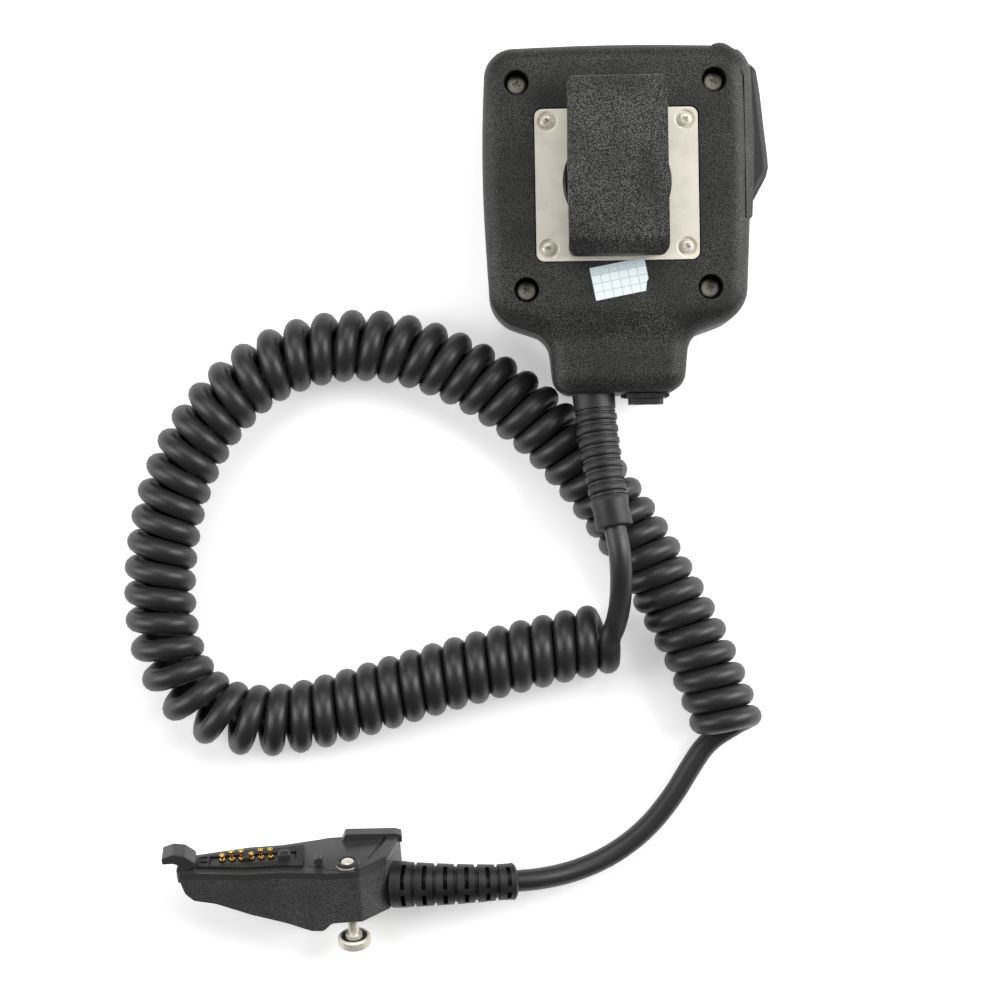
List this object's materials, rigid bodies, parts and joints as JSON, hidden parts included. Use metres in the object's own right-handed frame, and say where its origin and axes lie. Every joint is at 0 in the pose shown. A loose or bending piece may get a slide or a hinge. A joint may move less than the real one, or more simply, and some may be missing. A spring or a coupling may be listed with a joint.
{
  "type": "hand microphone",
  "caption": "Two-way radio hand microphone: rounded black casing with a swivelling belt clip and talk bar, curly cord and a side connector plug with a thumbscrew.",
  "frame": {"origin": "on the grille face, where the belt clip's swivel axis meets it; the microphone lies on this face", "axes": "+Z out of the back of the casing, +Y along the casing away from the cord, +X towards the talk bar"},
  "size_m": [0.1471, 0.203, 0.04],
  "materials": {
    "casing_plastic": "fine moulded grain, satin",
    "clip_plastic": "coarse moulded grain, satin",
    "bar_plastic": "fine moulded grain",
    "bar_rubber": "matt",
    "plug_plastic": "moulded grain, satin",
    "inner_plastic": "smooth",
    "black_rubber": "matt",
    "boot_rubber": "satin",
    "cord_jacket": "satin polyurethane jacket",
    "satin_steel": "satin",
    "spring_steel": "bright",
    "nickel_screw": "nickel plated",
    "gilt_contact": "gilt",
    "board_laminate": "solder mask",
    "black_felt": "felt",
    "cone_paper": "pressed paper",
    "magnet_ferrite": "ground",
    "capsule_aluminium": "drawn",
    "label_paper": "coated paper"
  },
  "bodies": {
    "housing": {"board_components": "inner_plastic", "circuit_board": "board_laminate", "clip_plate": "satin_steel", "clip_plate_screws": "nickel_screw", "contact_block": "inner_plastic", "contact_gasket": "black_rubber", "cord_lead": "cord_jacket", "cord_tail": "cord_jacket", "curly_cord": "cord_jacket", "earphone_jack": "inner_plastic", "front_housing": "casing_plastic", "housing_screws": "nickel_screw", "housing_seal": "black_rubber", "inspection_label": "label_paper", "key_block": "plug_plastic", "microphone_boot": "black_rubber", "microphone_capsule": "capsule_aluminium", "plug_body": "plug_plastic", "plug_boot": "boot_rubber", "plug_cover": "plug_plastic", "plug_hook": "plug_plastic", "ptt_frame": "bar_plastic", "ptt_switch": "inner_plastic", "rear_cover": "casing_plastic", "screw_collar": "spring_steel", "speaker_cone": "cone_paper", "speaker_felt": "black_felt", "speaker_frame": "spring_steel", "speaker_magnet": "magnet_ferrite", "strain_relief": "boot_rubber"},
    "swivel": {"swivel_base": "clip_plastic", "swivel_washer": "spring_steel", "swivel_screw": "nickel_screw", "clip_pin": "spring_steel"},
    "clip": {"belt_clip": "clip_plastic", "clip_spring": "spring_steel"},
    "talk_button": {"ptt_button": "bar_rubber", "ptt_plunger": "inner_plastic"},
    "jack_cover": {"jack_cover": "black_rubber"},
    "screw_washer": {"thumbscrew_washer": "spring_steel"},
    "thumbscrew": {"thumbscrew": "nickel_screw"},
    "contacts": {"contact_pins": "gilt_contact"}
  },
  "joints": [
    {"name": "clip_swivel", "type": "hinge", "parent": "housing", "child": "swivel", "pos_m": [0, 0, 0.03], "axis": [0, 0, 1], "continuous": true},
    {"name": "clip_hinge", "type": "hinge", "parent": "swivel", "child": "clip", "pos_m": [0, 0.006, 0.0346], "axis": [-1, 0, 0], "range_deg": [0, 16], "stiffness_Nm_per_rad": 0.4, "springref_deg": -20.05},
    {"name": "talk_press", "type": "slide", "parent": "housing", "child": "talk_button", "axis": [-1, 0, 0], "range_m": [0, 0.0012], "stiffness_N_per_m": 1500, "springref_m": -0.0006},
    {"name": "jack_cover_hinge", "type": "hinge", "parent": "housing", "child": "jack_cover", "pos_m": [0.0106, -0.0471, 0.0195], "axis": [0, 0, 1], "range_deg": [0, 90], "stiffness_Nm_per_rad": 0.002, "springref_deg": -17.19},
    {"name": "thumbscrew_slide", "type": "slide", "parent": "housing", "child": "screw_washer", "axis": [-0.0435, 0.9053, 0.4226], "range_m": [0, 0.0046]},
    {"name": "thumbscrew_turn", "type": "hinge", "parent": "screw_washer", "child": "thumbscrew", "pos_m": [-0.06203, -0.16828, 0.00948], "axis": [-0.0435, 0.9053, 0.4226], "continuous": true},
    {"name": "contact_press", "type": "slide", "parent": "housing", "child": "contacts", "axis": [0.0435, -0.9053, -0.4226], "range_m": [0, 0.0012], "stiffness_N_per_m": 800, "springref_m": -0.0006}
  ]
}
